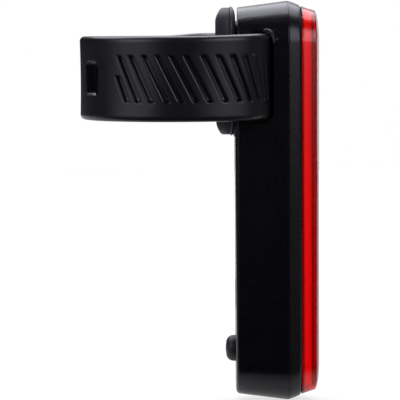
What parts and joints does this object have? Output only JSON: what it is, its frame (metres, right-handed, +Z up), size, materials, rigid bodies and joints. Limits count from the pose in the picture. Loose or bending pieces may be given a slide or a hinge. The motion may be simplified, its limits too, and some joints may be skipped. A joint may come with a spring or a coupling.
{
  "type": "bicycle rear light",
  "caption": "Slim upright bicycle rear light with a clear red lens, a rubber pad for the seat post, a grooved rubber strap that loops round the post, a rear button and a covered port.",
  "frame": {"origin": "on the axis of the seat post, at the strap's mid height", "axes": "+Z up along the post, +X away from the post towards the lens, +Y towards the side with the hook and the strap's tail"},
  "size_m": [0.0572, 0.041, 0.0965],
  "materials": {
    "shell_black": "fine matte texture",
    "bezel_black": "satin",
    "lens_red": "clear red, polished",
    "seal_grey": "matte",
    "reflector_white": "bright white",
    "board_green": "satin solder mask",
    "led_cream": "clear",
    "chip_black": "matte",
    "coil_grey": "matte",
    "screw_steel": "zinc plated",
    "cell_foil": "satin foil",
    "tape_tan": "matte",
    "lead_red": "satin",
    "connector_cream": "satin",
    "port_steel": "bright",
    "strap_rubber": "soft matte",
    "pad_rubber": "soft matte",
    "button_rubber": "soft matte",
    "plunger_white": "satin",
    "stem_red": "satin"
  },
  "bodies": {
    "light": {"rear_shell": "shell_black", "front_bezel": "bezel_black", "lens": "lens_red", "lens_seal": "seal_grey", "case_seal": "seal_grey", "reflector": "reflector_white", "led_board": "board_green", "leds": "led_cream", "driver_chip": "chip_black", "led_coil": "coil_grey", "board_screws": "screw_steel", "case_screws": "screw_steel", "battery": "cell_foil", "battery_tape": "tape_tan", "battery_leads": "lead_red", "battery_plug": "connector_cream", "battery_socket": "connector_cream", "usb_shell": "port_steel", "usb_tongue": "chip_black", "tact_switch": "chip_black", "pad_plate": "shell_black", "pad_screws": "screw_steel", "post_pad": "pad_rubber", "strap_band": "strap_rubber", "strap_pin": "screw_steel"},
    "button": {"button_boot": "button_rubber", "button_plunger": "plunger_white", "switch_stem": "stem_red"},
    "cover": {"port_cover": "button_rubber"},
    "tail": {"strap_tail": "strap_rubber"}
  },
  "joints": [
    {"name": "button_press", "type": "slide", "parent": "light", "child": "button", "axis": [1, 0, 0], "range_m": [0, 0.0005], "stiffness_N_per_m": 4000},
    {"name": "cover_hinge", "type": "hinge", "parent": "light", "child": "cover", "pos_m": [0.0188, 0, -0.0492], "axis": [0, 1, 0], "range_deg": [0, 105]},
    {"name": "strap_flex", "type": "hinge", "parent": "light", "child": "tail", "pos_m": [-0.0183, 0, 0], "axis": [0, 0, 1], "range_deg": [0, 75]}
  ]
}
